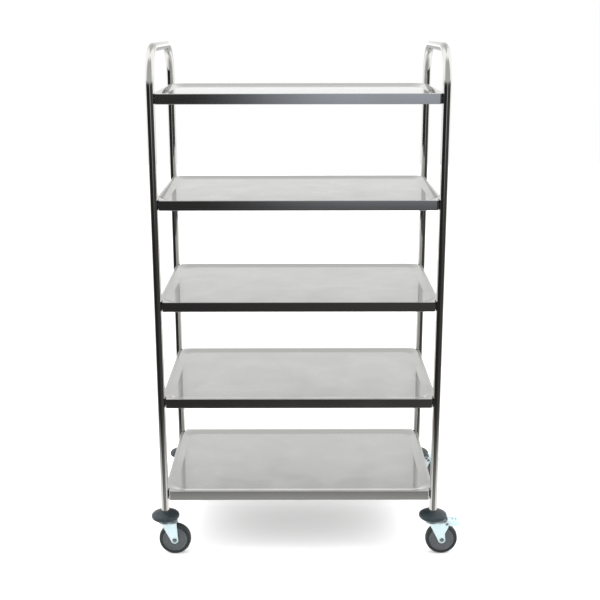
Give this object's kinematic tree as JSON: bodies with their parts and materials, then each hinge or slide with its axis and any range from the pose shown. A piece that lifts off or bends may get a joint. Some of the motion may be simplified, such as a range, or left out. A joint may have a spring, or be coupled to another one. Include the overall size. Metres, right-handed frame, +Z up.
{
  "type": "five-tier service trolley",
  "caption": "Tall tubular steel service trolley: bent-tube end frames with push handles, stacked lipped trays, and swivel castors with round bumpers, part of them braked.",
  "frame": {"origin": "on the floor, midway between the four castor stems", "axes": "+X to the right along the trays, +Y from the front to the back, +Z up; at rest the castors trail towards +X"},
  "size_m": [0.9625, 0.582, 1.56],
  "materials": {
    "polished_tube": "mirror-polished stainless steel tube",
    "polished_sheet": "bright-polished stainless steel sheet",
    "plain_sheet": "mill-finish stainless steel",
    "zinc": "bright zinc plating",
    "hardware_steel": "plain steel fastener",
    "bumper_plastic": "moulded grey plastic",
    "hub_plastic": "moulded grey polypropylene",
    "tyre_rubber": "non-marking grey rubber"
  },
  "bodies": {
    "frame": {"left_end_frame": "polished_tube", "right_end_frame": "polished_tube", "tray_bottom": "polished_sheet", "tray_lower": "polished_sheet", "tray_middle": "polished_sheet", "tray_upper": "polished_sheet", "tray_top": "polished_sheet", "stiffener_bottom": "plain_sheet", "stiffener_lower": "plain_sheet", "stiffener_middle": "plain_sheet", "stiffener_upper": "plain_sheet", "stiffener_top": "plain_sheet", "tray_bolts": "hardware_steel", "rivet_nuts": "hardware_steel", "front_left_socket": "hardware_steel", "front_left_stem": "zinc", "front_left_bumper": "bumper_plastic", "front_right_socket": "hardware_steel", "front_right_stem": "zinc", "front_right_bumper": "bumper_plastic", "rear_left_socket": "hardware_steel", "rear_left_stem": "zinc", "rear_left_bumper": "bumper_plastic", "rear_right_socket": "hardware_steel", "rear_right_stem": "zinc", "rear_right_bumper": "bumper_plastic"},
    "front_left_castor": {"front_left_fork": "zinc", "front_left_balls": "hardware_steel", "front_left_axle": "zinc", "front_left_bush": "hardware_steel"},
    "front_left_wheel": {"front_left_hub": "hub_plastic", "front_left_tyre": "tyre_rubber"},
    "front_right_castor": {"front_right_fork": "zinc", "front_right_balls": "hardware_steel", "front_right_axle": "zinc", "front_right_bush": "hardware_steel", "front_right_brake_pin": "zinc", "front_right_brake_spring": "hardware_steel"},
    "front_right_wheel": {"front_right_hub": "hub_plastic", "front_right_tyre": "tyre_rubber"},
    "front_right_brake": {"front_right_brake_pedal": "zinc"},
    "rear_left_castor": {"rear_left_fork": "zinc", "rear_left_balls": "hardware_steel", "rear_left_axle": "zinc", "rear_left_bush": "hardware_steel"},
    "rear_left_wheel": {"rear_left_hub": "hub_plastic", "rear_left_tyre": "tyre_rubber"},
    "rear_right_castor": {"rear_right_fork": "zinc", "rear_right_balls": "hardware_steel", "rear_right_axle": "zinc", "rear_right_bush": "hardware_steel", "rear_right_brake_pin": "zinc", "rear_right_brake_spring": "hardware_steel"},
    "rear_right_wheel": {"rear_right_hub": "hub_plastic", "rear_right_tyre": "tyre_rubber"},
    "rear_right_brake": {"rear_right_brake_pedal": "zinc"}
  },
  "joints": [
    {"name": "front_left_swivel", "type": "hinge", "parent": "frame", "child": "front_left_castor", "pos_m": [-0.4175, -0.2475, 0.1115], "axis": [0, 0, 1], "continuous": true},
    {"name": "front_left_roll", "type": "hinge", "parent": "front_left_castor", "child": "front_left_wheel", "pos_m": [-0.3895, -0.2475, 0.05], "axis": [0, 1, 0], "continuous": true},
    {"name": "front_right_swivel", "type": "hinge", "parent": "frame", "child": "front_right_castor", "pos_m": [0.4175, -0.2475, 0.1115], "axis": [0, 0, 1], "continuous": true},
    {"name": "front_right_roll", "type": "hinge", "parent": "front_right_castor", "child": "front_right_wheel", "pos_m": [0.4455, -0.2475, 0.05], "axis": [0, 1, 0], "continuous": true},
    {"name": "front_right_brake_press", "type": "hinge", "parent": "front_right_castor", "child": "front_right_brake", "pos_m": [0.46047, -0.2475, 0.10396], "axis": [0, 1, 0], "range_deg": [0, 12]},
    {"name": "rear_left_swivel", "type": "hinge", "parent": "frame", "child": "rear_left_castor", "pos_m": [-0.4175, 0.2475, 0.1115], "axis": [0, 0, 1], "continuous": true},
    {"name": "rear_left_roll", "type": "hinge", "parent": "rear_left_castor", "child": "rear_left_wheel", "pos_m": [-0.3895, 0.2475, 0.05], "axis": [0, 1, 0], "continuous": true},
    {"name": "rear_right_swivel", "type": "hinge", "parent": "frame", "child": "rear_right_castor", "pos_m": [0.4175, 0.2475, 0.1115], "axis": [0, 0, 1], "continuous": true},
    {"name": "rear_right_roll", "type": "hinge", "parent": "rear_right_castor", "child": "rear_right_wheel", "pos_m": [0.4455, 0.2475, 0.05], "axis": [0, 1, 0], "continuous": true},
    {"name": "rear_right_brake_press", "type": "hinge", "parent": "rear_right_castor", "child": "rear_right_brake", "pos_m": [0.46047, 0.2475, 0.10396], "axis": [0, 1, 0], "range_deg": [0, 12]}
  ]
}
